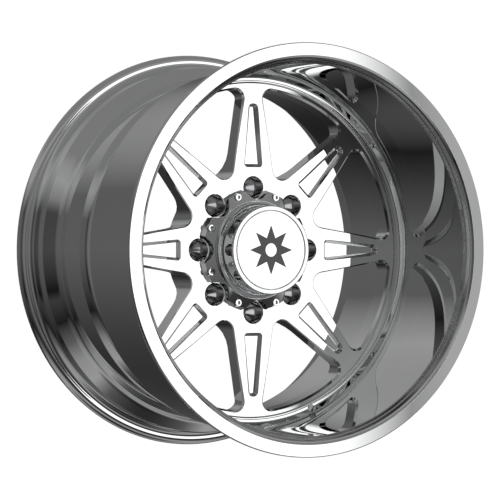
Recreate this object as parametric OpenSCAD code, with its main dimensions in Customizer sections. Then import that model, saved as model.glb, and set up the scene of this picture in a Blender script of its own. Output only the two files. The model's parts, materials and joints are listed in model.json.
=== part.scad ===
// Polished two-piece forged wheel, 20 by 12 inch, with a bolt-on centre cap.
// The axle runs along Y. The outboard face looks towards -Y and +Z is up.
// The origin is the centre of the hub bore on the mounting-pad face.
// Stations called d are millimetres inboard from the plane of the front flange.
// Heights called h are millimetres outboard from the spoke face.

/* [Rim] */
// Nominal diameter at the bead seats
seat_d = 512.8; // [500:0.1:530]
// Width between the two bead-seat flanges
rim_width = 304.8; // [292:0.1:318]
// Height of each flange above its bead seat
flange_h = 17.5; // [16:0.1:19]
// Thickness of each flange along the axle
flange_t = 11.4; // [10:0.1:12]
// Mounting pad's distance outboard (minus) or inboard of the rim's centreline
offset_et = -44; // [-50:1:-38]
// Radius of the drop well's floor
well_r = 238; // [237:0.5:240]
// Wall thickness of the rim
rim_wall = 8; // [7:0.5:8.5]

/* [Centre disc] */
// Distance from the front flange plane to the spoke face
face_d = 154.4; // [152:0.1:156]
// Thickness of the spokes
spoke_t = 23; // [20:1:26]
// Half-width of a spoke 100 mm from the axle
spoke_half_in = 32.5; // [31:0.5:34]
// Half-width of a spoke 200 mm from the axle
spoke_half_out = 17; // [15:0.5:19]
// Radius of the windows' outer arc
window_r = 220; // [214:1:222]
// Depth of the milled pocket in each spoke
pocket_depth = 7; // [3:0.5:10]

/* [Hub] */
// Radius of the hub bore
bore_r = 62.55; // [55:0.05:63]
// Pitch circle diameter of the lug holes
lug_pcd = 170; // [165.1:0.1:171]
// Radius of the clearance hole for each stud
stud_hole_r = 7.75; // [7:0.05:8]
// Radius of the counterbore for each lug nut
lug_cbore_r = 14.7; // [13:0.1:15]
// Radius of the valve hole
valve_r = 5.75; // [4.15:0.05:5.75]

/* [Centre cap] */
// Outer radius of the cap's cylinder
cap_r = 60; // [58:0.5:61]
// Height of the cap's front above the spoke face
cap_h = 47.9; // [40:0.1:60]
// Radius of the screws' circle
cap_screw_pcr = 77.3; // [76.5:0.1:78]
// Distance that the cap's emblem stands above its face
emblem_h = 0.6; // [0.3:0.1:1.5]

/* [Hidden] */
$fn = 128;
SPOKES = 8;
STEP_A = 360 / SPOKES;
RIM_NODES = ["forged_disc", "rim_barrel", "front_weld", "rear_weld"];
CAP_NODES = ["cap_ring", "cap_shell", "cap_bezel", "cap_face", "cap_emblem", "cap_snap_ring", "cap_seal"];
SCREW_NODES = [for (i = [1 : SPOKES]) str("cap_screw_", i)];

// rim stations
seat_r = seat_d / 2;
flange_r = seat_r + flange_h;
rim_len = rim_width + 2 * flange_t;
front_y = offset_et - rim_len / 2;
pad_d = -front_y;
pad_t = pad_d - face_d;
edge_round = 2.5;
heel_round = 8;
flange_round = 9;
heel_d = flange_t + 0.6;
seat_drop = 1.8;
hump_h = 1.4;
front_hump_d = 38;
rear_hump_d = rim_len - 31;
lip_out_r = 250;
lip_back_r = 246;
lip_back_d = 160;
well_start_d = 208;
well_end_d = 262;
slope_end_d = rear_hump_d - 10.6;
lip_crest_h = 1.7;
lip_crest_r = 257;
lip_edge_r = 254.5;
lip_bevel = 1;
lip_cone_d = 19;
lip_wall_r = 242;
lip_foot_r = 240;
lip_foot_d = 140;
ledge_r = 231.5;
ledge_d = 151;
foot_round = 11;
well_round = 18;
well_in_round = 14;
well_in_r = well_r - rim_wall;
seat_in_r = seat_r - rim_wall;
open_r = 255.7;

// disc stations
disc_r = well_in_r;
disc_rim_t = 27.6;
hub_pad_r = 104.5;
hub_flare_r = 134;
flare_power = 2.2;
flare_steps = 7;
weld_leg = 5;
spoke_taper = (spoke_half_in - spoke_half_out) / 100;
window_in_round = 15;
window_out_round = 12;
pocket_in_r = 112.5;
pocket_out_r = 200;
pocket_half_in = 14.8;
pocket_half_out = 8.2;
pocket_round_in = 5.5;
lug_chamfer = 1.2;
lug_cbore_depth = 22;
lug_seat_angle = 30;
tap_r = 3;
tap_depth = 16;

// valve hole, drilled through the step between the lip and the well
valve_angle = -67.5;
valve_mouth_r = 235;
valve_mouth_d = 149;
valve_tilt = 32;

// cap stations
shell_wall = 4;
neck_r = 66;
neck_top_h = 9;
flare_top_h = 26.4;
foot_r = 68.3;
foot_t = 4.5;
fit_gap = 0.2;
scallop_r = 16.4;
notch_a = 45;
notch_reach = 18;
ring_base_r = 87;
ring_top_r = 84.5;
ring_edge_h = 8.5;
ring_crest_r = 69.5;
ring_crest_h = 12.4;
bezel_t = 3.4;
face_r = 53.2;
face_t = 3;
face_sink = 0.3;
snap_t = 1.6;
snap_in_r = 49;
seat_ledge_r = 51;
seal_section_r = 1.15;
seal_r = 65;
seal_gap = 0.3;
screw_r = 2.95;
screw_hole_r = 3.3;
head_r = 5;
head_h = 6;
head_seat_h = 5.6;
head_gap = 0.05;
head_bore_r = 5.6;
hex_flats = 5;
hex_depth = 3;
screw_reach = 12;
emblem_r = 33;
emblem_waist_r = 17;
emblem_hole_r = 9;

// turns a profile of [radius, station] about the axle, with station zero at y
module turned(y) { translate([0, y, 0]) rotate([-90, 0, 0]) rotate_extrude() children(); }

// as turned, with heights that grow outboard
module turned_out(y) { translate([0, y, 0]) rotate([90, 0, 0]) rotate_extrude() children(); }

// a flat shape in X and Z, drawn as seen from outboard, given thickness t outboard of y
module plate(y, t) { translate([0, y, 0]) rotate([90, 0, 0]) linear_extrude(t) children(); }

// places a child at an angle about the axle, anticlockwise as seen from outboard
module at_angle(a) { rotate([0, -a, 0]) children(); }

// points on an arc of a profile
function arc(cx, cy, r, a0, a1, n = 8) =
    [for (i = [0 : n]) [cx + r * cos(a0 + (a1 - a0) * i / n), cy + r * sin(a0 + (a1 - a0) * i / n)]];

face_y = front_y + face_d;

// The rim's outer outline, from the front flange to the rear one
function outer_outline() = concat(
    [[lip_edge_r, 0], [lip_crest_r, -lip_crest_h]],
    arc(flange_r - edge_round, edge_round, edge_round, -90, 0, 4),
    arc(flange_r - flange_round, heel_d - flange_round, flange_round, 0, 90, 6),
    arc(seat_r + heel_round, heel_d + heel_round, heel_round, -90, -180, 6),
    [[seat_r - seat_drop, front_hump_d - 5]],
    [[seat_r - seat_drop + hump_h, front_hump_d - 1.5], [seat_r - seat_drop + hump_h, front_hump_d + 1.5]],
    [[lip_out_r, front_hump_d + 6]],
    [[lip_back_r, lip_back_d], [well_r + 1, well_start_d - 6], [well_r, well_start_d]],
    arc(well_r + well_round, well_end_d, well_round, 180, 135, 6),
    [[seat_r - seat_drop, slope_end_d]],
    [[seat_r - seat_drop + hump_h, rear_hump_d - 1.5], [seat_r - seat_drop + hump_h, rear_hump_d + 1.5]],
    [[seat_r - seat_drop, rear_hump_d + 5]],
    arc(seat_r + heel_round, rim_len - heel_d - heel_round, heel_round, 180, 90, 6),
    arc(flange_r - flange_round, rim_len - heel_d + flange_round, flange_round, -90, 0, 6),
    arc(flange_r - edge_round, rim_len - edge_round, edge_round, 0, 90, 4));

// The rim's inner outline, from the rear opening back to the lip's face
function inner_outline() = concat(
    [[open_r, rim_len], [open_r - 3, rim_len - 4], [seat_in_r - 1, rim_len - 12]],
    [[seat_in_r - 3, rear_hump_d + 2], [seat_in_r - 6, slope_end_d]],
    arc(well_in_r + well_in_round, well_end_d + 8, well_in_round, 130, 180, 5),
    [[well_in_r, ledge_d + 1], [ledge_r, ledge_d]],
    arc(lip_foot_r - foot_round, lip_foot_d, foot_round, 75, 0, 6),
    [[lip_wall_r, lip_cone_d + 2], [lip_wall_r + 0.7, lip_cone_d - 1], [lip_edge_r - 2 * lip_bevel, lip_bevel]]);

module rim_barrel() {
    color([0.80, 0.81, 0.82])
    difference() {
        turned(front_y) polygon(concat(outer_outline(), inner_outline()));
        at_angle(valve_angle)
            translate([valve_mouth_r, front_y + valve_mouth_d, 0])
            rotate([0, 0, -valve_tilt])
            rotate([-90, 0, 0])
            translate([0, 0, -20]) cylinder(r = valve_r, h = 70);
    }
}

// the straight flank of a window, in the window's own frame, whose X runs out along its middle
half_step = STEP_A / 2;
flank_a = half_step + atan(spoke_taper);
flank_x0 = (spoke_half_in + 100 * spoke_taper) / cos(atan(spoke_taper)) / sin(flank_a);
flank_dir = [cos(flank_a), sin(flank_a)];
flank_in = [sin(flank_a), -cos(flank_a)];
apex_c = [flank_x0 + window_in_round / sin(flank_a), 0];
corner_r = window_r - window_out_round;
corner_o = [flank_x0, 0] + window_out_round * flank_in;
corner_b = corner_o * flank_dir;
corner_t = -corner_b + sqrt(corner_b * corner_b - corner_o * corner_o + corner_r * corner_r);
corner_c = corner_o + corner_t * flank_dir;
function flip(p) = [p[0], -p[1]];

// straight sides lie this much inside the rounds that they meet, so that they cross them cleanly
blend = 0.03;
module window_shape() {
    apex_tan = apex_c - (window_in_round - blend) * flank_in;
    corner_tan = corner_c - (window_out_round - blend) * flank_in;
    arc_end = corner_c * (window_r - 1) / corner_r;
    translate(apex_c) circle(window_in_round);
    translate(corner_c) circle(window_out_round);
    translate(flip(corner_c)) circle(window_out_round);
    polygon([apex_tan, corner_tan, arc_end, flip(arc_end), flip(corner_tan), flip(apex_tan)]);
    intersection() {
        circle(window_r - blend);
        polygon([corner_c, 1.3 * corner_c, flip(1.3 * corner_c), flip(corner_c)]);
    }
}

// the tapered pocket of a spoke, whose X runs out along the spoke
pocket_a = atan((pocket_half_in - pocket_half_out) / (pocket_out_r - pocket_in_r));
module pocket_shape() {
    side = [sin(pocket_a), cos(pocket_a)];
    in_c = [pocket_in_r + pocket_round_in, pocket_half_in - pocket_round_in / cos(pocket_a)];
    out_c = [pocket_out_r - pocket_half_out, 0];
    in_tan = in_c + (pocket_round_in - blend) * side;
    out_tan = out_c + (pocket_half_out - blend) * side;
    translate(in_c) circle(pocket_round_in);
    translate(flip(in_c)) circle(pocket_round_in);
    translate(out_c) circle(pocket_half_out);
    polygon([[pocket_in_r + blend, in_c[1]], in_c, in_tan, out_tan, flip(out_tan), flip(in_tan),
        flip(in_c), [pocket_in_r + blend, -in_c[1]]]);
}

// lug hole: stud clearance, conical seat, counterbore and mouth chamfer
module lug_hole() {
    seat_len = (lug_cbore_r - stud_hole_r) / tan(lug_seat_angle);
    turned(face_y) polygon([
        [0, -1], [lug_cbore_r + lug_chamfer + 1, -1], [lug_cbore_r, lug_chamfer],
        [lug_cbore_r, lug_cbore_depth], [stud_hole_r, lug_cbore_depth + seat_len],
        [stud_hole_r, pad_t + 1], [0, pad_t + 1]]);
}

module forged_disc() {
    back_y = face_y + spoke_t;
    color([0.83, 0.84, 0.85])
    difference() {
        turned(face_y) polygon(concat(
            [[bore_r, 0], [disc_r, 0], [disc_r, disc_rim_t]],
            [[window_r - 2, disc_rim_t], [window_r - 10, spoke_t]],
            [for (i = [0 : flare_steps])
                [hub_flare_r + (hub_pad_r - hub_flare_r) * i / flare_steps,
                    spoke_t + (pad_t - spoke_t) * pow(i / flare_steps, flare_power)]],
            [[bore_r, pad_t]]));
        for (i = [0 : SPOKES - 1]) {
            at_angle(half_step + i * STEP_A) plate(1, pad_t + 2) window_shape();
            at_angle(i * STEP_A) plate(face_y + pocket_depth, pocket_depth + 1) pocket_shape();
            at_angle(i * STEP_A) translate([lug_pcd / 2, 0, 0]) lug_hole();
            at_angle(half_step + i * STEP_A)
                translate([cap_screw_pcr, face_y - 1, 0])
                rotate([-90, 0, 0]) cylinder(r = tap_r, h = tap_depth + 1, $fn = 48);
        }
    }
}

module front_weld() {
    color([0.78, 0.79, 0.80])
    turned(front_y) polygon(concat(
        [[disc_r, face_d], [disc_r - 3, face_d]],
        arc(disc_r - 3, ledge_d + 1, face_d - ledge_d - 1, 90, 0, 5)));
}

module rear_weld() {
    back_d = face_d + disc_rim_t;
    color([0.70, 0.71, 0.72])
    turned(front_y) polygon([
        [disc_r, back_d], [disc_r, back_d + weld_leg], [disc_r - 1.6, back_d + 2.6],
        [disc_r - 2.8, back_d + 1.4], [disc_r - weld_leg, back_d]]);
}

// a notch of the ring: a round scallop about the lug hole, whose sides flare out to the ring's edge
module notch_shape() {
    near = (scallop_r - blend) * cos(notch_a);
    far = near + notch_reach;
    translate([lug_pcd / 2, 0]) {
        circle(scallop_r);
        polygon([[-near, near], [-near, -near], [notch_reach - near, -far], [notch_reach - near, far]]);
    }
}

// the castellated ring that clamps the cap to the disc
module cap_ring() {
    color([0.62, 0.63, 0.64])
    difference() {
        turned_out(face_y) polygon([
            [foot_r + fit_gap, 0], [ring_base_r, 0], [ring_top_r, ring_edge_h], [ring_crest_r, ring_crest_h],
            [neck_r + fit_gap, ring_crest_h - 2.4], [neck_r + fit_gap, foot_t], [foot_r + fit_gap, foot_t]]);
        for (i = [0 : SPOKES - 1]) {
            at_angle(i * STEP_A) plate(face_y + 1, ring_crest_h + 2) notch_shape();
            at_angle(half_step + i * STEP_A)
                translate([cap_screw_pcr, face_y + 1, 0])
                rotate([90, 0, 0]) cylinder(r = screw_hole_r, h = ring_crest_h + 2, $fn = 48);
            at_angle(half_step + i * STEP_A)
                translate([cap_screw_pcr, face_y - head_seat_h, 0])
                rotate([90, 0, 0]) cylinder(r = head_bore_r, h = ring_crest_h, $fn = 48);
        }
    }
}

// the cap's body: foot, flared neck and cylinder, hollow behind the face plate
module cap_shell() {
    flare_h = flare_top_h - neck_top_h;
    shell_h = cap_h - bezel_t;
    color([0.72, 0.73, 0.74])
    turned_out(face_y) polygon(concat(
        [[neck_r - shell_wall - 1, 0]],
        [[seal_r - 1.2, 0], [seal_r - 1.2, seal_gap + 2.3], [seal_r + 1.2, seal_gap + 2.3], [seal_r + 1.2, 0]],
        [[foot_r, 0], [foot_r, foot_t], [neck_r, foot_t]],
        [for (i = [0 : 8]) [cap_r + (neck_r - cap_r) * pow(1 - i / 8, flare_power), neck_top_h + flare_h * i / 8]],
        [[cap_r, shell_h], [face_r + fit_gap, shell_h], [face_r + fit_gap, cap_h - face_sink - face_t]],
        [[seat_ledge_r, cap_h - face_sink - face_t], [seat_ledge_r, cap_h - face_sink - face_t - 2]],
        [[cap_r - shell_wall, cap_h - face_sink - face_t - 6], [cap_r - shell_wall, flare_top_h]],
        [[neck_r - shell_wall - 1, neck_top_h]]));
}

module cap_bezel() {
    color([0.86, 0.87, 0.88])
    turned_out(face_y) polygon(concat(
        [[face_r + fit_gap, cap_h - bezel_t], [cap_r, cap_h - bezel_t]],
        arc(cap_r - 1.2, cap_h - 1.2, 1.2, 0, 90, 4),
        [[face_r + 0.9, cap_h], [face_r + fit_gap, cap_h - 0.7]]));
}

module cap_face() {
    color([0.90, 0.91, 0.92])
    turned_out(face_y) polygon([
        [0, cap_h - face_sink - face_t], [face_r, cap_h - face_sink - face_t],
        [face_r, cap_h - face_sink - 0.5], [face_r - 0.5, cap_h - face_sink], [0, cap_h - face_sink]]);
}

// plain eight-pointed rosette, one point for each spoke
module cap_emblem() {
    color([0.18, 0.18, 0.19])
    plate(face_y - cap_h + face_sink, emblem_h)
    difference() {
        polygon([for (i = [0 : 2 * SPOKES - 1])
            let (r = i % 2 == 0 ? emblem_r : emblem_waist_r)
            [r * cos(i * half_step), r * sin(i * half_step)]]);
        circle(emblem_hole_r);
    }
}

// internal retaining ring behind the face plate's ledge
module cap_snap_ring() {
    top_h = cap_h - face_sink - face_t;
    color([0.35, 0.35, 0.37])
    difference() {
        turned_out(face_y) polygon([
            [snap_in_r, top_h - snap_t], [seat_ledge_r, top_h - snap_t], [seat_ledge_r, top_h], [snap_in_r, top_h]]);
        translate([0, face_y - top_h + snap_t / 2, -snap_in_r]) cube([8, 2 * snap_t, 12], center = true);
    }
}

module cap_seal() {
    color([0.08, 0.08, 0.08])
    turned_out(face_y) translate([seal_r, seal_gap + seal_section_r]) circle(seal_section_r, $fn = 32);
}

// socket-head cap screw, drawn at the screws' circle on the X axis
module cap_screw() {
    translate([cap_screw_pcr, face_y - head_seat_h - head_gap, 0])
    rotate([90, 0, 0])
    difference() {
        union() {
            rotate_extrude($fn = 48) polygon([
                [0, 0], [head_r, 0], [head_r, head_h - 0.5], [head_r - 0.5, head_h], [0, head_h]]);
            translate([0, 0, -head_seat_h - screw_reach])
                cylinder(r = screw_r, h = head_seat_h + screw_reach + 0.5, $fn = 48);
        }
        translate([0, 0, head_h - hex_depth])
            cylinder(r = hex_flats / sqrt(3), h = hex_depth + 1, $fn = 6);
    }
}

module cap_screw_at(i) {
    color([0.85, 0.86, 0.87]) at_angle(half_step + (i - 1) * STEP_A) cap_screw();
}

forged_disc();
rim_barrel();
front_weld();
rear_weld();
cap_ring();
cap_shell();
cap_bezel();
cap_face();
cap_emblem();
cap_snap_ring();
cap_seal();
for (i = [1 : SPOKES]) cap_screw_at(i);
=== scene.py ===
"""Polished deep-lip forged wheel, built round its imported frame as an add-on of small operators."""

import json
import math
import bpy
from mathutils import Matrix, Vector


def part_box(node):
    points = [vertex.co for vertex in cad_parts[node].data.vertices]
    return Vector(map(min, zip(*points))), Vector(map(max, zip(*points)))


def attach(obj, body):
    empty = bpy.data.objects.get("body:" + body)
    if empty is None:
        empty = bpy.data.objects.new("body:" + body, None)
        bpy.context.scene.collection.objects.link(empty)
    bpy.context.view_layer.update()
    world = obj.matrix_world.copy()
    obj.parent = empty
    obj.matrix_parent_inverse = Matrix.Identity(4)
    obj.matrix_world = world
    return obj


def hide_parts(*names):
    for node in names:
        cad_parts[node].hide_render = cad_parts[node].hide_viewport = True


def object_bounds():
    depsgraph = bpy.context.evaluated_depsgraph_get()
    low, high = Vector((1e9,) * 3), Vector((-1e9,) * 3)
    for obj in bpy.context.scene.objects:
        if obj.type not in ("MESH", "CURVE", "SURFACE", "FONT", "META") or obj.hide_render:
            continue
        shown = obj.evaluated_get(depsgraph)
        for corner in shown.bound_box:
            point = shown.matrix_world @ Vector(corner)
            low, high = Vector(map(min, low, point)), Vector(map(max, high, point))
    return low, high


bl_info = {
    "name": "Forged wheel rim",
    "version": (1, 0, 0),
    "blender": (4, 5, 0),
    "location": "View3D > Sidebar > Wheel",
    "description": "Builds a mirror-polished forged wheel, its centre cap and a plain studio",
    "category": "Object",
}

import bmesh
import bpy
from mathutils import Matrix, Vector

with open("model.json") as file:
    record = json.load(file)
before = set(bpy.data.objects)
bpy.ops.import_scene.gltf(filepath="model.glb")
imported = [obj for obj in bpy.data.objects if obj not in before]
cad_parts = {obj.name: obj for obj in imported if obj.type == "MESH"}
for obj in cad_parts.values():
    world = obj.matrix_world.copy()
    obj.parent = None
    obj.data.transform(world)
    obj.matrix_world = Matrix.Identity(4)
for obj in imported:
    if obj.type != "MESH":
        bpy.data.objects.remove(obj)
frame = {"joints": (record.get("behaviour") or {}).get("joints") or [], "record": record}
CAD_LOW, CAD_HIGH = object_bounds()

MM = 0.001
AXLE = (0, 1, 0)
FULL_TURN = 2 * math.pi
SPOKES = 8
STEP = FULL_TURN / SPOKES

# stations along the axle and radii, read from the frame; the lip's crest stands proud of the front flange
CREST = 1.7
FRONT = CAD_LOW.y / MM + CREST
REAR = CAD_HIGH.y / MM
FLANGE_R = CAD_HIGH.z / MM
FLANGE_HEIGHT = 17.5
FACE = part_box("forged_disc")[0].y / MM
DISC_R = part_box("forged_disc")[1].z / MM
CAP_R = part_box("cap_bezel")[1].z / MM
CAP_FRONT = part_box("cap_bezel")[0].y / MM
RING_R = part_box("cap_ring")[1].z / MM
MOUNTS = {mount["name"]: mount for mount in frame["record"]["mounts"]}
BORE_R = MOUNTS["hub_bore"]["dims"]["r_mm"]
LUG_R = MOUNTS["lug_holes"]["dims"]["pcd_mm"] / 2
STUD_R = MOUNTS["lug_holes"]["dims"]["hole_r_mm"]
VALVE = MOUNTS["valve_hole"]
SCREW_R = Vector(frame["joints"][1]["pos_m"]).xz.length / MM

# the windows: half-widths of a spoke 100 and 200 mm from the axle, and the rounds of their corners
SPOKE_IN, SPOKE_OUT = 32.5, 17.0
APEX_ROUND, CORNER_ROUND = 15.0, 12.0

# the spokes' pockets: inner and outer end, and half-width at each
POCKET_IN, POCKET_OUT = 112.5, 200.0
POCKET_WIDE, POCKET_NARROW = 15.0, 7.5

# the lug holes' counterbore, and the half-angle of the conical seat at its foot
SOCKET_R, SOCKET_DEPTH = 14.7, 22.0
SEAT_ANGLE = math.radians(30)

# the cap: bore and outer radius of its foot, and the groove of the retaining clip
CAP_BORE_R, CAP_FOOT_R = 61.0, 68.3
CLIP_IN_R, CLIP_OUT_R = 49.0, 51.0
RING_STEP = 4.5

# brightness of the floor and of the room behind, which the camera sees as white
WHITE = 1.02


# ---------------------------------------------------------------- settings


def length(name, description, default, low=0.0, high=1.0):
    """A length in metres that the panel shows in the scene's units."""
    return bpy.props.FloatProperty(
        name=name, description=description, default=default, min=low, max=high, unit="LENGTH", precision=4
    )


def factor(name, description, default, high=1.0):
    """A plain number from 0 to high."""
    return bpy.props.FloatProperty(name=name, description=description, default=default, min=0, max=high)


def tint(name, description, default):
    """A colour."""
    return bpy.props.FloatVectorProperty(
        name=name, description=description, default=default, size=3, min=0, max=1, subtype="COLOR"
    )


class RimSizes(bpy.types.PropertyGroup):
    """Sizes of the barrel."""

    lip_depth: length("Lip depth", "Depth of the polished lip wall", 0.140)
    lip_wall_r: length("Lip wall radius", "Radius of the lip's inner wall behind its steps", 0.242)
    lip_foot_r: length("Lip foot radius", "Radius of the lip's inner wall next to the disc", 0.240)
    well_r: length("Well radius", "Radius of the drop well's floor", 0.238)
    wall: length("Wall", "Thickness of the rim's wall", 0.008)


class DiscSizes(bpy.types.PropertyGroup):
    """Sizes of the forged centre disc."""

    window_r: length("Window radius", "Radius of the windows' outer arc", 0.220)
    fine_bevel: length("Fine bevel", "Width of the bevel round each window next to the hub", 0.0014)
    broad_bevel: length("Broad bevel", "Width of that bevel at the spokes' outer ends", 0.0028)
    pocket_depth: length("Pocket depth", "Depth of the milled pocket in each spoke", 0.006)
    pocket_slope: length("Pocket slope", "Width of the sloping wall round each pocket", 0.0042)
    spoke_t: length("Spoke thickness", "Thickness of the spokes at mid length", 0.023)


class CapSizes(bpy.types.PropertyGroup):
    """Sizes of the centre cap."""

    flare_r: length("Neck radius", "Radius of the flared neck where it meets the ring", 0.066)
    emblem_r: length("Emblem radius", "Radius of the rosette on the cap's face", 0.033)
    scallop_r: length("Scallop radius", "Radius of the scallops round the lug holes", 0.0164)


class Finish(bpy.types.PropertyGroup):
    """Colours and polish."""

    polish: tint("Polished metal", "Colour of the polished aluminium", (0.92, 0.925, 0.93))
    plating: tint("Plating", "Colour of the cap's bright plating", (0.86, 0.865, 0.87))
    enamel: tint("Enamel", "Colour of the emblem", (0.052, 0.052, 0.055))
    gloss: factor("Roughness", "Roughness of the mirror polish", 0.012)


class Studio(bpy.types.PropertyGroup):
    """Camera and light."""

    azimuth: bpy.props.FloatProperty(
        name="Azimuth",
        description="Camera's turn about the wheel",
        default=math.radians(-30.218),
        subtype="ANGLE",
    )
    distance: length("Distance", "Camera's distance from the front flange's centre", 4.0134, 0.5, 20)
    aside: length("Aside", "How far the camera stands to the left of that centre", 0.08225, -1, 1)
    lens: bpy.props.FloatProperty(name="Lens", description="Focal length", default=219.2, unit="CAMERA")
    panel: factor("Panel", "Brightness of the white panel in front", 1.35, 5)
    flank: factor("Panel's edge", "Brightness of the panel's dim right edge", 0.40, 5)


GROUPS = {"rim": RimSizes, "disc": DiscSizes, "cap": CapSizes, "finish": Finish, "studio": Studio}


def settings(group):
    """The named property group of the scene."""
    return getattr(bpy.context.scene, "wheel_" + group)


# ---------------------------------------------------------------- outlines


def arc(cx, cy, radius, start, end, steps):
    """Points on an arc, angles in degrees."""
    angles = [math.radians(start + (end - start) * i / steps) for i in range(steps + 1)]
    return [(cx + radius * math.cos(a), cy + radius * math.sin(a)) for a in angles]


def rounded(corners, steps=5, closed=True):
    """Turns corners (x, y) or (x, y, fillet radius) into an outline whose filleted corners are arcs."""
    outline = []
    count = len(corners)
    for i, corner in enumerate(corners):
        here = Vector(corner[:2])
        fillet = corner[2] if len(corner) > 2 else 0
        if not fillet or (not closed and i in (0, count - 1)):
            outline.append(tuple(here))
            continue
        before = (Vector(corners[i - 1][:2]) - here).normalized()
        after = (Vector(corners[(i + 1) % count][:2]) - here).normalized()
        half = before.angle(after) / 2
        centre = here + (before + after).normalized() * fillet / math.sin(half)
        first = here + before * fillet / math.tan(half) - centre
        last = here + after * fillet / math.tan(half) - centre
        turn = math.atan2(first.x * last.y - first.y * last.x, first.dot(last))
        for k in range(steps + 1):
            outline.append(tuple(centre + Matrix.Rotation(turn * k / steps, 2) @ first))
    return outline


# ---------------------------------------------------------------- mesh work


def edge_loop(bm, outline):
    """A closed loop of edges through (radius, y) points in millimetres."""
    verts = [bm.verts.new((r * MM, y * MM, 0)) for r, y in outline]
    return verts + [bm.edges.new((verts[i - 1], verts[i])) for i in range(len(verts))]


def tidied(bm):
    """Merges doubles and points every face outwards."""
    bmesh.ops.remove_doubles(bm, verts=bm.verts, dist=1e-6)
    bmesh.ops.dissolve_degenerate(bm, edges=bm.edges, dist=1e-7)
    bmesh.ops.recalc_face_normals(bm, faces=bm.faces)
    return bm


def spun(outline, steps=256, turn=FULL_TURN):
    """A closed outline of (radius, y) points turned about the axle. Less than a full turn has flat ends."""
    bm = bmesh.new()
    loop = edge_loop(bm, outline)
    full = turn == FULL_TURN
    if not full:
        bmesh.ops.contextual_create(bm, geom=loop)
        loop = bm.verts[:] + bm.edges[:] + bm.faces[:]
    bmesh.ops.spin(bm, geom=loop, cent=(0, 0, 0), axis=AXLE, angle=turn, steps=steps, use_merge=full)
    return tidied(bm)


def solid_round(outline, steps=64):
    """As spun, for an outline that starts and ends on the axle, which only its ends touch."""
    bm = bmesh.new()
    verts = [bm.verts.new((r * MM, y * MM, 0)) for r, y in outline]
    line = verts + [bm.edges.new(pair) for pair in zip(verts, verts[1:])]
    bmesh.ops.spin(bm, geom=line, cent=(0, 0, 0), axis=AXLE, angle=FULL_TURN, steps=steps, use_merge=True)
    return tidied(bm)


def rod(radius, length_mm, sides):
    """A rod or prism of a radius and a length in millimetres, centred, along Z."""
    bm = bmesh.new()
    bmesh.ops.create_cone(
        bm, cap_ends=True, segments=sides, radius1=radius * MM, radius2=radius * MM, depth=length_mm * MM
    )
    return bm


def lofted(*rings):
    """A solid skinned through closed rings of (x, y, z) points in millimetres and capped at both ends."""
    bm = bmesh.new()
    loops = []
    for ring in rings:
        verts = [bm.verts.new(Vector(point) * MM) for point in ring]
        loops.append([bm.edges.new((verts[i - 1], verts[i])) for i in range(len(verts))])
    for near, far in zip(loops, loops[1:]):
        bmesh.ops.bridge_loops(bm, edges=near + far)
    for end in (loops[0], loops[-1]):
        bmesh.ops.contextual_create(bm, geom=end)
    return tidied(bm)


def ring_at(outline, y):
    """Points of a flat outline (x, z) set at the station y."""
    return [(x, y, z) for x, z in outline]


def only_verts(geom):
    """The vertices among the geometry that an operator returns."""
    return [part for part in geom if isinstance(part, bmesh.types.BMVert)]


def repeated(bm, first=0.0, out=0.0):
    """Moves a shape out millimetres along X, turns it by the angle first and repeats it for each spoke."""
    bmesh.ops.translate(bm, verts=bm.verts, vec=(out * MM, 0, 0))
    bmesh.ops.rotate(bm, verts=bm.verts, matrix=Matrix.Rotation(-first, 3, "Y"))
    shape = bm.verts[:] + bm.edges[:] + bm.faces[:]
    for i in range(1, SPOKES):
        copy = bmesh.ops.duplicate(bm, geom=shape)["geom"]
        bmesh.ops.rotate(bm, verts=only_verts(copy), matrix=Matrix.Rotation(-STEP * i, 3, "Y"))


def added(bm, name):
    """A new object made from a bmesh, which is freed."""
    mesh = bpy.data.meshes.new(name)
    bm.to_mesh(mesh)
    bm.free()
    thing = bpy.data.objects.new(name, mesh)
    bpy.context.scene.collection.objects.link(thing)
    return thing


def applied(thing):
    """Applies an object's modifiers to its mesh."""
    graph = bpy.context.evaluated_depsgraph_get()
    mesh = bpy.data.meshes.new_from_object(thing.evaluated_get(graph), depsgraph=graph)
    thing.modifiers.clear()
    old, thing.data = thing.data, mesh
    bpy.data.meshes.remove(old)


def carved(bm, name, cutters):
    """Cuts a list of bmesh tools out of a bmesh body and returns the object."""
    body = added(bm, name)
    tools = [added(tool, name + "_tool") for tool in cutters]
    for tool in tools:
        cut = body.modifiers.new("cut", "BOOLEAN")
        cut.operation, cut.solver, cut.object = "DIFFERENCE", "EXACT", tool
    applied(body)
    for tool in tools:
        bpy.data.objects.remove(tool)
    return body


def finished(thing, finish, body, node, crease=28):
    """Smooths a piece with weighted normals, gives it its finish, parents it to its body's empty and hides
    the CAD node it replaces.
    """
    mesh = thing.data
    mesh.materials.clear()
    mesh.materials.append(finish)
    mesh.polygons.foreach_set("use_smooth", [True] * len(mesh.polygons))
    mesh.polygons.foreach_set("material_index", [0] * len(mesh.polygons))
    mesh.set_sharp_from_angle(angle=math.radians(crease))
    weigh = thing.modifiers.new("weigh", "WEIGHTED_NORMAL")
    weigh.mode, weigh.keep_sharp, weigh.weight = "FACE_AREA", True, 100
    applied(thing)
    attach(thing, body)
    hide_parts(node)


# ---------------------------------------------------------------- shaders


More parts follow.
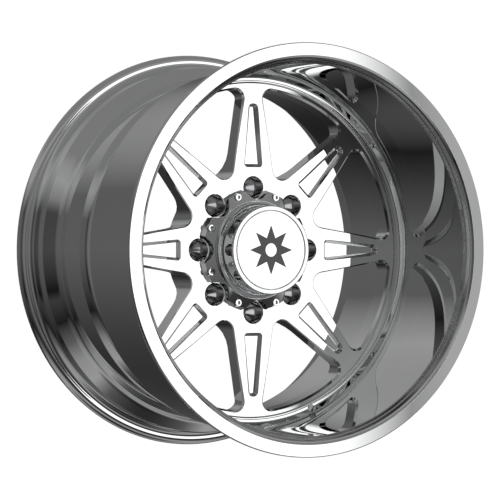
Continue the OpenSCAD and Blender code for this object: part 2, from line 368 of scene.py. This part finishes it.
class Value:
    """A socket of a node tree, or a number, with the arithmetic that the materials use."""

    def __init__(self, tree, socket):
        self.tree, self.socket = tree, socket

    def maths(self, operation, *others):
        return self.tree.node("ShaderNodeMath", {"operation": operation}, self, *others)

    def __add__(self, other):
        return self.maths("ADD", other)

    def __sub__(self, other):
        return self.maths("SUBTRACT", other)

    def __rsub__(self, other):
        return self.tree.node("ShaderNodeMath", {"operation": "SUBTRACT"}, other, self)

    def __mul__(self, other):
        return self.maths("MULTIPLY", other)

    def __pow__(self, other):
        return self.maths("POWER", other)

    __radd__, __rmul__ = __add__, __mul__

    def above(self, low, high):
        """0 below low, 1 above high, and smooth between."""
        kind = {"interpolation_type": "SMOOTHSTEP"}
        return self.tree.node("ShaderNodeMapRange", kind, self, low, high, 0.0, 1.0)


class Tree:
    """Builds the nodes of one material or world."""

    def __init__(self, owner):
        owner.use_nodes = True
        self.nodes, self.links = owner.node_tree.nodes, owner.node_tree.links
        self.nodes.clear()

    def node(self, kind, options=None, *values, out=0, **named):
        """Adds a node: its settings first, then the values or links of its sockets."""
        made = self.nodes.new(kind)
        for key, setting in (options or {}).items():
            if key == "stops":
                ramp = made.color_ramp
                while len(ramp.elements) < len(setting):
                    ramp.elements.new(1)
                for stop, (position, grey) in zip(ramp.elements, setting):
                    stop.position, stop.color = position, (grey, grey, grey, 1)
            else:
                setattr(made, key, setting)
        sockets = list(zip(made.inputs, values))
        sockets += [(made.inputs[key.replace("_", " ")], value) for key, value in named.items()]
        for socket, value in sockets:
            if isinstance(value, Value):
                self.links.new(value.socket, socket)
            elif value is not None:
                socket.default_value = value
        return Value(self, made.outputs[out]) if made.outputs else None

    def spot(self):
        """Object coordinates."""
        return self.node("ShaderNodeTexCoord", out=3)

    def split(self, vector):
        """The three numbers of a vector."""
        outputs = self.node("ShaderNodeSeparateXYZ", None, vector).socket.node.outputs
        return [Value(self, output) for output in outputs]

    def mix(self, factor, first, second):
        """The first colour where the factor is 0 and the second where it is 1."""
        made = self.node("ShaderNodeMix", {"data_type": "RGBA"}, factor, out=2)
        for socket, colour in zip(made.socket.node.inputs[6:8], (first, second)):
            if isinstance(colour, Value):
                self.links.new(colour.socket, socket)
            else:
                socket.default_value = (*colour, 1)
        return made

    def noise(self, spot, scale, detail=2.0):
        return self.node("ShaderNodeTexNoise", None, Vector=spot, Scale=scale, Detail=detail)

    def bump(self, height, strength, distance):
        return self.node("ShaderNodeBump", None, Strength=strength, Distance=distance, Height=height)

    def surface(self, **sockets):
        """A Principled shader wired to the material's output."""
        shader = self.node("ShaderNodeBsdfPrincipled", None, **sockets)
        self.node("ShaderNodeOutputMaterial", None, shader)


def material(name):
    """A new material and its tree."""
    made = bpy.data.materials.new(name)
    return made, Tree(made)


def lip_steps_rough_and_shade(x, y, z):
    """Mask of the finely turned steps just inside the lip's edge: rougher there, and darkened in colour,
    which is painted shade.
    """
    radius = (x * x + z * z) ** 0.5
    steps = radius.above(246.0 * MM, 246.3 * MM) * (1 - radius.above(252.6 * MM, 253.0 * MM))
    return steps * (1 - y.above((FRONT + 12) * MM, (FRONT + 13) * MM)) * 0.6


def wall_rough_and_shade(x, y, z):
    """Mask of the walls of the lug sockets and pockets: rougher there, as polishing doesn't reach them, and
    darkened in colour in these recesses, which is painted shade.
    """
    radius = (x * x + z * z) ** 0.5
    turn = z.maths("ARCTAN2", x).maths("PINGPONG", STEP / 2)
    along, across = radius * turn.maths("COSINE"), radius * turn.maths("SINE")
    offset = along - LUG_R * MM
    from_hole = (offset * offset + across * across) ** 0.5
    socket = 1 - from_hole.above((SOCKET_R + 0.2) * MM, (SOCKET_R + 0.5) * MM)
    sunken = y.above((FACE + 0.5) * MM, (FACE + 0.9) * MM)
    sunken = sunken * (1 - across.above((POCKET_WIDE + 0.8) * MM, (POCKET_WIDE + 1.2) * MM))
    walls = 1 - y.above((FACE + 5.4) * MM, (FACE + 5.9) * MM)
    reach = along.above((POCKET_IN - 1.5) * MM, (POCKET_IN - 1) * MM)
    reach = reach * (1 - along.above((POCKET_OUT + 1) * MM, (POCKET_OUT + 1.5) * MM))
    # painted shade: half strength in the lug sockets, 0.6 on the pocket walls
    return sunken * (socket * 0.5).maths("MAXIMUM", walls * reach * 0.6)


def mirror_metal(name, colour, rough, lathe=0.0, roughen_and_shade=None):
    """Polished metal with a faint haze, fine buffing marks and lathe rings. The last argument gives a mask
    where it is rougher and its colour darkened to grey as painted shade.
    """
    made, tree = material(name)
    spot = tree.spot()
    x, y, z = tree.split(spot)
    haze = tree.noise(spot, 14.0, 3.0).above(0.35, 0.75)
    polish = rough * 0.65 + haze * (rough * 0.7)
    shade = tree.mix(haze, colour, [0.975 * part for part in colour])
    if roughen_and_shade:
        rough_and_shade = roughen_and_shade(x, y, z)
        polish = polish + rough_and_shade * 0.22
        # painted shade: the mask mixes the colour toward dark grey 0.42, besides roughening it
        shade = tree.mix(rough_and_shade, shade, (0.42, 0.42, 0.43))
    height = tree.noise(spot, 900.0, 1.0)
    if lathe:
        radius = (x * x + z * z) ** 0.5
        height = height * 0.4 + ((radius + y) * 9000.0).maths("SINE") * lathe
    normal = tree.bump(height, 0.0015, 0.0002)
    tree.surface(Base_Color=shade, Metallic=1.0, Roughness=polish, Normal=normal)
    return made


def weld_metal():
    """Satin weld metal with a coarse grain."""
    made, tree = material("weld_bead_satin")
    grain = tree.noise(tree.spot(), 400.0, 3.0)
    tree.surface(
        Base_Color=(0.60, 0.60, 0.60, 1),
        Metallic=1.0,
        Roughness=grain * 0.25 + 0.22,
        Normal=tree.bump(grain, 0.3, 0.0004),
    )
    return made


def enamel_paint(colour):
    """Dark glossy enamel with a slight orange peel."""
    made, tree = material("emblem_enamel_paint")
    peel = tree.noise(tree.spot(), 700.0)
    tree.surface(
        Base_Color=(*colour, 1),
        Roughness=peel * 0.1 + 0.28,
        Coat_Weight=0.4,
        Normal=tree.bump(peel, 0.05, 0.0002),
    )
    return made


def spring_steel():
    """Dark phosphated spring steel."""
    made, tree = material("phosphated_steel")
    grain = tree.noise(tree.spot(), 1500.0)
    tree.surface(Base_Color=(0.16, 0.16, 0.17, 1), Metallic=0.9, Roughness=grain * 0.2 + 0.35)
    return made


def black_rubber():
    """Matt black nitrile rubber."""
    made, tree = material("nitrile_rubber")
    grain = tree.noise(tree.spot(), 2500.0)
    tree.surface(
        Base_Color=(0.018, 0.018, 0.018, 1),
        Roughness=grain * 0.15 + 0.6,
        Normal=tree.bump(grain, 0.2, 0.0001),
    )
    return made


# ---------------------------------------------------------------- rim


def bead_side(edge, inward, hump):
    """Flange, heel, bead seat and hump, from an edge towards the well. inward is +1 at the front edge."""
    seat = FLANGE_R - FLANGE_HEIGHT
    stations = [
        (FLANGE_R, 0, 1.6),
        (FLANGE_R, 12, 9),
        (seat, 12, 8),
        (seat - 1.8, hump - 3.5, 1.5),
        (seat - 0.2, hump - 1.5, 1.5),
        (seat - 0.2, hump + 1.5, 2.0),
    ]
    return [(radius, edge + inward * d, fillet) for radius, d, fillet in stations]


class WHEEL_OT_barrel(bpy.types.Operator):
    """Turn the rim barrel with its lip, bead seats and drop well, and drill the valve hole"""

    bl_idname = "wheel.barrel"
    bl_label = "Rim barrel"

    def execute(self, context):
        rim = settings("rim")
        well = rim.well_r / MM
        under = well - rim.wall / MM
        crest = [(254.4, FRONT + 0.3, 0.4), (256.9, FRONT - CREST, 0.4)]
        drop_well = [
            (250, FRONT + 44, 2.5),
            (246.3, FRONT + 160, 20),
            (well, FRONT + 207.5, 20),
            (well, FRONT + 269.4, 18),
            (254.5, FRONT + 285.8, 0.8),
        ]
        back = [
            (255.7, REAR, 1.2),
            (252, REAR - 4.5, 2),
            (247.5, REAR - 12, 6),
            (243.2, REAR - 37, 8),
            (under, REAR - 57, 14),
            (under, FRONT + 152.2, 0),
        ]
        lip = [
            (231.2, FRONT + 151.4, 0.4),
            (235.0, FRONT + 151.2, 3),
            (rim.lip_foot_r / MM, FRONT + rim.lip_depth / MM + 3, 7),
            (rim.lip_wall_r / MM, FRONT + 96, 300),
            (246.4, FRONT + 11.9, 0.8),
            (247.4, FRONT + 11.5, 0.2),
            (249.2, FRONT + 6.9, 0.3),
            (250.6, FRONT + 6.4, 0.2),
            (252.4, FRONT + 1.2, 0.4),
        ]
        outline = crest + bead_side(FRONT, 1, 38) + drop_well + bead_side(REAR, -1, 31)[::-1] + back + lip
        drill = rod(VALVE["dims"]["r_mm"], 70, 48)
        aim = Vector((0, 0, 1)).rotation_difference(Vector(VALVE["axis"])).to_matrix().to_4x4()
        bmesh.ops.transform(drill, matrix=Matrix.Translation(VALVE["pos_m"]) @ aim, verts=drill.verts)
        barrel = carved(spun(rounded(outline)), "turned_barrel", [drill])
        finish = settings("finish")
        # the lip's inner steps get painted shade from this mask
        metal = mirror_metal("mirror_barrel", finish.polish, finish.gloss, lathe=0.5, roughen_and_shade=lip_steps_rough_and_shade)
        finished(barrel, metal, "wheel", "rim_barrel")
        return {"FINISHED"}


class WHEEL_OT_welds(bpy.types.Operator):
    """Lay the polished front fillet and the rippled rear weld between the disc and the barrel"""

    bl_idname = "wheel.welds"
    bl_label = "Weld beads"

    def execute(self, context):
        finish = settings("finish")
        low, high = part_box("front_weld")
        front = [
            (DISC_R, high.y / MM),
            (DISC_R - 3, high.y / MM),
            (DISC_R - 2.6, low.y / MM + 1.2, 1.2),
            (DISC_R - 1, low.y / MM + 0.05, 1),
            (DISC_R, low.y / MM + 0.05),
        ]
        polish = mirror_metal("mirror_front_weld", finish.polish, finish.gloss)
        bead = added(spun(rounded(front)), "front_fillet")
        finished(bead, polish, "wheel", "front_weld")

        low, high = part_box("rear_weld")
        leg = (high.y - low.y) / MM
        foot, throat, ripples = low.y / MM, 1.9, 90
        rear = [(DISC_R, foot), (DISC_R, high.y / MM), (DISC_R - throat, foot + throat), (DISC_R - leg, foot)]
        bm = spun(rear, 4 * ripples)
        for vert in bm.verts:
            outward = Vector((vert.co.x, 0, vert.co.z))
            if abs(outward.length - (DISC_R - throat) * MM) < 1e-4:
                sink = 0.25 * MM * (1 - math.sin(ripples * math.atan2(vert.co.z, vert.co.x)))
                vert.co += outward.normalized() * sink - Vector((0, sink, 0))
        bead = added(bm, "rear_bead")
        finished(bead, weld_metal(), "wheel", "rear_weld")
        return {"FINISHED"}


# ---------------------------------------------------------------- disc


def window_outline(reach, grow=0.0, steps=14):
    """Outline of the window whose middle lies on the X axis, grown outwards by grow millimetres."""
    taper = math.atan((SPOKE_IN - SPOKE_OUT) / 100)
    lean = STEP / 2 + taper
    tip = (SPOKE_IN * math.cos(taper) + 100 * math.sin(taper)) / math.sin(lean)
    apex = tip + APEX_ROUND / math.sin(lean)
    side = Vector((tip + CORNER_ROUND * math.sin(lean), -CORNER_ROUND * math.cos(lean)))
    run = Vector((math.cos(lean), math.sin(lean)))
    along = -side.dot(run) + math.sqrt(side.dot(run) ** 2 - side.length_squared + (reach - CORNER_ROUND) ** 2)
    corner = side + run * along
    tilt = math.degrees(lean)
    swing = math.degrees(math.atan2(corner.y, corner.x))
    inner = arc(apex, 0, APEX_ROUND + grow, 270 - tilt, 90 + tilt, 16)
    far = arc(corner.x, -corner.y, CORNER_ROUND + grow, -swing, -90 - tilt, 12)
    near = [(x, -z) for x, z in reversed(far)]
    flank = [Vector(inner[-1]).lerp(near[0], i / steps) for i in range(1, steps)]
    outline = inner + [tuple(point) for point in flank] + near
    outline += arc(0, 0, reach + grow, swing, -swing, 28)[1:-1]
    return outline + far + [(point.x, -point.y) for point in reversed(flank)]


def bevelled_window(reach, fine, broad):
    """Tool that cuts one window, whose bevel widens from fine to broad along the spokes' outer parts."""
    inner = window_outline(reach)
    outer = window_outline(reach, 1.0)
    mouth, edge = [], []
    for (x, z), (far_x, far_z) in zip(inner, outer):
        outer_part = min(max((math.hypot(x, z) - 152) / 55, 0), 1)
        width = fine + (broad - fine) * outer_part
        mouth.append((x + (far_x - x) * (width + 1), FACE - 1, z + (far_z - z) * (width + 1)))
        edge.append((x, FACE + width, z))
    return lofted(mouth, edge, ring_at(inner, 4))


def pocket_outline(grow=0.0):
    """Outline of a spoke's tapered pocket, along the X axis, grown outwards by grow millimetres."""
    near, wide, near_round = POCKET_IN - grow, POCKET_WIDE + grow, 5.5 + grow
    far, narrow, far_round = POCKET_OUT + grow, POCKET_NARROW + grow, 7 + grow
    right = [(near, wide, near_round), (far, narrow, far_round)]
    left = [(far, -narrow, far_round), (near, -wide, near_round)]
    return rounded(right + left, 10)


class WHEEL_OT_disc(bpy.types.Operator):
    """Forge the centre disc: windows, spoke pockets, lug holes and hub"""

    bl_idname = "wheel.disc"
    bl_label = "Centre disc"

    def execute(self, context):
        disc = settings("disc")
        finish = settings("finish")
        spoke = FACE + disc.spoke_t / MM
        body = rounded([
            (BORE_R, FACE, 1.0),
            (DISC_R, FACE),
            (DISC_R, FACE + 27.6),
            (218, FACE + 27.6, 2),
            (210, spoke, 2),
            (134, spoke, 8),
            (126, spoke * 0.934),
            (117.5, spoke * 0.72),
            (110.5, spoke * 0.40),
            (106, spoke * 0.11),
            (104.5, 0, 0.5),
            (BORE_R, 0, 1.0),
        ])
        windows = bevelled_window(disc.window_r / MM, disc.fine_bevel / MM, disc.broad_bevel / MM)
        repeated(windows, first=STEP / 2)
        floor = FACE + disc.pocket_depth / MM
        slope = disc.pocket_slope / MM
        cuts = [(0.6, FACE - 1), (-slope, floor - 0.8), (-slope - 0.4, floor - 0.2), (-slope - 1.0, floor)]
        pockets = lofted(*(ring_at(pocket_outline(grow), y) for grow, y in cuts))
        repeated(pockets)
        seat_foot = SOCKET_DEPTH + (SOCKET_R - STUD_R) / math.tan(SEAT_ANGLE)
        lugs = solid_round([
            (0, FACE - 1),
            (SOCKET_R + 2.2, FACE - 1),
            (SOCKET_R, FACE + 1.2),
            (SOCKET_R, FACE + SOCKET_DEPTH),
            (STUD_R, FACE + seat_foot),
            (STUD_R, 1),
            (0, 1),
        ])
        repeated(lugs, out=LUG_R)
        thing = carved(spun(body), "milled_disc", [windows, pockets, lugs])
        # the socket and pocket walls get painted shade from this mask
        metal = mirror_metal("mirror_disc", finish.polish, finish.gloss, roughen_and_shade=wall_rough_and_shade)
        finished(thing, metal, "wheel", "forged_disc")
        return {"FINISHED"}


# ---------------------------------------------------------------- centre cap


class WHEEL_OT_ring(bpy.types.Operator):
    """Mill the castellated ring that clamps the cap"""

    bl_idname = "wheel.ring"
    bl_label = "Cap ring"

    def execute(self, context):
        cap = settings("cap")
        neck = cap.flare_r / MM + 0.2
        outline = rounded([
            (CAP_FOOT_R + 0.2, FACE),
            (RING_R, FACE, 0.5),
            (RING_R - 2.5, FACE - 8.5, 1.2),
            (neck + 0.4, FACE - 12.35, 0.4),
            (neck, FACE - 11.4, 0.1),
            (neck, FACE - RING_STEP),
            (CAP_FOOT_R + 0.2, FACE - RING_STEP),
        ])
        scallop = cap.scallop_r / MM
        beyond, flared = LUG_R + 16, 16 + 2 * scallop * math.cos(math.pi / 4)
        notch = arc(LUG_R, 0, scallop, 135, 225, 24) + [(beyond, -flared), (beyond, flared)]
        before, behind, head, hole = FACE - 14, FACE + 1, 5.6, 3.3
        notches = lofted(ring_at(notch, before), ring_at(notch, behind))
        repeated(notches)
        seat = FACE - 5.6
        bore = [(0, before), (head, before), (head, seat), (hole, seat), (hole, behind), (0, behind)]
        bores = solid_round(bore, 48)
        repeated(bores, first=STEP / 2, out=SCREW_R)
        thing = carved(spun(outline), "castellated_ring", [notches, bores])
        metal = mirror_metal("ring_plating", settings("finish").plating, 0.05)
        finished(thing, metal, "centre_cap", "cap_ring")
        return {"FINISHED"}


class WHEEL_OT_cap(bpy.types.Operator):
    """Turn the cap's shell, bezel, face plate, retaining ring and seal"""

    bl_idname = "wheel.cap"
    bl_label = "Cap body"

    def execute(self, context):
        finish = settings("finish")
        neck = settings("cap").flare_r / MM
        shell_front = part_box("cap_shell")[0].y / MM
        plate_front, plate_back = (v.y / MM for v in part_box("cap_face"))
        plate_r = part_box("cap_face")[1].z / MM
        seal_low, seal_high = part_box("cap_seal")
        seal_t = (seal_high.y - seal_low.y) / MM
        seal_mid = (seal_high.y + seal_low.y) / 2 / MM
        seal_r = seal_high.z / MM - seal_t / 2
        in_r, out_r, groove = seal_r - 1.2, seal_r + 1.2, FACE - 2.6
        foot = [(CAP_BORE_R, FACE), (in_r, FACE), (in_r, groove), (out_r, groove), (out_r, FACE)]
        foot += [(CAP_FOOT_R, FACE), (CAP_FOOT_R, FACE - RING_STEP), (neck, FACE - RING_STEP)]
        flare = [(CAP_R + (neck - CAP_R) * (1 - i / 20) ** 5, FACE - 11.8 - 14.6 * i / 20) for i in range(21)]
        pocket_r = plate_r + 0.2
        rim = [(CAP_R, FACE - 27), (CAP_R, shell_front, 0.4), (pocket_r, shell_front)]
        inside = [(pocket_r, plate_back), (CLIP_OUT_R, plate_back), (CLIP_OUT_R, plate_back + 2)]
        inside += [(56, plate_back + 6), (56, FACE - 26), (CAP_BORE_R, FACE - 9)]
        plated = mirror_metal("cap_plating", finish.plating, 0.08)
        bright = mirror_metal("bezel_plating", finish.polish, finish.gloss)
        polished = mirror_metal("face_polish", finish.polish, finish.gloss)
        thing = added(spun(foot + flare + rounded(rim, closed=False)[1:] + inside, 192), "cap_body")
        finished(thing, plated, "centre_cap", "cap_shell")

        bezel = rounded([
            (pocket_r, shell_front),
            (CAP_R, shell_front, 0.3),
            (CAP_R, CAP_FRONT, 1.6),
            (pocket_r, CAP_FRONT, 1.2),
        ])
        thing = added(spun(bezel, 192), "bezel_band")
        finished(thing, bright, "centre_cap", "cap_bezel")

        plate = [(0, plate_back), (plate_r, plate_back), (plate_r, plate_front, 1.0), (0, plate_front)]
        thing = added(solid_round(rounded(plate, closed=False), 192), "face_plate")
        finished(thing, polished, "centre_cap", "cap_face")

        top, bottom = (corner.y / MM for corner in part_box("cap_snap_ring"))
        corners = [(CLIP_IN_R, top), (CLIP_OUT_R, top), (CLIP_OUT_R, bottom), (CLIP_IN_R, bottom)]
        wire = rounded([(*corner, 0.3) for corner in corners], steps=3)
        bm = spun(wire, 140, math.radians(350))
        bmesh.ops.rotate(bm, verts=bm.verts, matrix=Matrix.Rotation(math.radians(95), 3, "Y"))
        thing = added(bm, "retaining_clip")
        finished(thing, spring_steel(), "centre_cap", "cap_snap_ring")

        section = arc(seal_r, seal_mid, seal_t / 2, 0, 360, 16)[:-1]
        thing = added(spun(section, 160), "o_ring")
        finished(thing, black_rubber(), "centre_cap", "cap_seal", crease=60)
        return {"FINISHED"}


class WHEEL_OT_emblem(bpy.types.Operator):
    """Raise the plain eight-pointed rosette on the cap's face"""

    bl_idname = "wheel.emblem"
    bl_label = "Emblem"

    def execute(self, context):
        low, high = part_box("cap_emblem")
        tip = settings("cap").emblem_r / MM
        points = [tip if i % 2 == 0 else 0.515 * tip for i in range(2 * SPOKES)]
        star = [(r * math.cos(i * STEP / 2), r * math.sin(i * STEP / 2)) for i, r in enumerate(points)]
        bm = bmesh.new()
        face = bm.faces.new([bm.verts.new((x * MM, high.y, z * MM)) for x, z in star])
        raised = bmesh.ops.extrude_face_region(bm, geom=[face])["geom"]
        bmesh.ops.translate(bm, verts=only_verts(raised), vec=(0, low.y - high.y, 0))
        before, behind, hole_r = low.y / MM - 1, high.y / MM + 1, 9
        hole = solid_round([(0, before), (hole_r, before), (hole_r, behind), (0, behind)], 96)
        thing = carved(tidied(bm), "rosette", [hole])
        finished(thing, enamel_paint(settings("finish").enamel), "centre_cap", "cap_emblem")
        return {"FINISHED"}


class WHEEL_OT_screws(bpy.types.Operator):
    """Turn the eight socket-head cap screws"""

    bl_idname = "wheel.screws"
    bl_label = "Cap screws"

    def execute(self, context):
        low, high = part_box("cap_screw_1")
        top, tail = low.y / MM, high.y / MM
        head, under, shank = 5, top + 6, 2.95
        profile = [(0, top), (head, top, 0.7), (head, under, 0.2)]
        profile += [(shank, under, 0.3), (shank, tail, 0.5), (0, tail)]
        outline = rounded(profile, steps=4, closed=False)
        metal = mirror_metal("screw_plating", settings("finish").polish, 0.06)
        for i in range(SPOKES):
            socket = rod(5 / math.sqrt(3), 6, 6)
            turn = Matrix.Translation((0, top * MM, 0)) @ Matrix.Rotation(math.pi / 2, 4, "X")
            bmesh.ops.transform(socket, matrix=turn, verts=socket.verts)
            spot = Matrix.Rotation(-(i + 0.5) * STEP, 4, "Y") @ Matrix.Translation((SCREW_R * MM, 0, 0))
            shape = solid_round(outline, 48)
            for bm in (shape, socket):
                bmesh.ops.transform(bm, matrix=spot, verts=bm.verts)
            thing = carved(shape, f"socket_screw_{i + 1}", [socket])
            finished(thing, metal, f"screw_{i + 1}", f"cap_screw_{i + 1}")
        return {"FINISHED"}


# ---------------------------------------------------------------- stage


def studio_world(studio):
    """White to the camera. The metal sees soft grey bands by height and a white panel in front."""
    world = bpy.data.worlds.new("studio")
    bpy.context.scene.world = world
    tree = Tree(world)
    x, y, z = tree.split(tree.node("ShaderNodeTexCoord", out=0))
    below = [(0.0, 0.01), (0.03, 0.09), (0.06, 0.33), (0.11, 0.27), (0.16, 0.11), (0.23, 0.012)]
    below += [(0.31, 0.045), (0.43, 0.09)]
    above = [(0.5, 0.11), (0.64, 0.105), (0.70, 0.22), (0.76, 0.32), (0.81, 0.28), (0.85, 0.20), (1.0, 0.20)]
    bands = tree.node("ShaderNodeValToRGB", {"stops": below + above}, z * 0.5 + 0.5)
    turn = x.maths("ARCTAN2", 0 - y)
    level = 1 - z.maths("ABSOLUTE").above(0.30, 0.40)
    panel = turn.above(0.19, 0.25) * (1 - turn.above(0.56, 0.78)) * level * studio.panel
    flank = turn.above(0.56, 0.78) * (1 - turn.above(1.2, 1.5)) * level * studio.flank
    shade = turn.above(-1.6, -1.2) * (1 - turn.above(-0.9, -0.5)) * level * 0.05
    front = turn.above(-0.9, -0.2) * (1 - turn.above(1.0, 1.6)) * z.above(-0.8, 0.0) * level * 0.06
    room = bands - shade + front
    glow = room.maths("MAXIMUM", panel).maths("MAXIMUM", flank)
    seen = tree.node("ShaderNodeLightPath", out=0)
    light = glow + (WHITE - glow) * seen
    tree.node("ShaderNodeOutputWorld", None, tree.node("ShaderNodeBackground", None, light, 1.0))


class WHEEL_OT_stage(bpy.types.Operator):
    """Set the pale floor, the studio light and the camera"""

    bl_idname = "wheel.stage"
    bl_label = "Stage"

    def execute(self, context):
        studio = settings("studio")
        bm = bmesh.new()
        bmesh.ops.create_circle(bm, cap_ends=True, segments=96, radius=12.0)
        bmesh.ops.translate(bm, verts=bm.verts, vec=(0, 0, CAD_LOW.z - 0.5 * MM))
        floor = added(bm, "floor")
        pale, tree = material("pale_floor")
        glow = tree.node("ShaderNodeEmission", None, (1, 1, 1, 1), WHITE)
        tree.node("ShaderNodeOutputMaterial", None, glow)
        floor.data.materials.append(pale)
        floor.visible_glossy = False

        studio_world(studio)
        context.scene.view_settings.view_transform = "Standard"

        turn = Matrix.Rotation(studio.azimuth, 3, "Z")
        middle = Vector((0, FRONT * MM, 0))
        lens = bpy.data.cameras.new("camera")
        lens.lens, lens.sensor_width = studio.lens, 36
        lens.clip_end = 100
        camera = bpy.data.objects.new("camera", lens)
        camera.location = middle + turn @ Vector((-studio.aside, -studio.distance, 0))
        camera.rotation_euler = (math.pi / 2, 0, studio.azimuth)
        context.scene.collection.objects.link(camera)
        context.scene.camera = camera
        return {"FINISHED"}


class WHEEL_PT_panel(bpy.types.Panel):
    """Lists the wheel's builders and their settings"""

    bl_label = "Forged wheel"
    bl_space_type = "VIEW_3D"
    bl_region_type = "UI"
    bl_category = "Wheel"

    def draw(self, context):
        for builder in BUILDERS:
            self.layout.operator(builder.bl_idname)
        for group, kind in GROUPS.items():
            box = self.layout.box()
            box.label(text=group.title())
            for key in kind.__annotations__:
                box.prop(settings(group), key)


BUILDERS = (
    WHEEL_OT_barrel,
    WHEEL_OT_welds,
    WHEEL_OT_disc,
    WHEEL_OT_ring,
    WHEEL_OT_cap,
    WHEEL_OT_emblem,
    WHEEL_OT_screws,
    WHEEL_OT_stage,
)


def register():
    for kind in (*GROUPS.values(), *BUILDERS, WHEEL_PT_panel):
        bpy.utils.register_class(kind)
    for group, kind in GROUPS.items():
        setattr(bpy.types.Scene, "wheel_" + group, bpy.props.PointerProperty(type=kind))


def unregister():
    for group in GROUPS:
        delattr(bpy.types.Scene, "wheel_" + group)
    for kind in reversed((*GROUPS.values(), *BUILDERS, WHEEL_PT_panel)):
        bpy.utils.unregister_class(kind)


def main():
    register()
    for builder in BUILDERS:
        group, name = builder.bl_idname.split(".")
        getattr(getattr(bpy.ops, group), name)()


if __name__ == "__main__":
    main()
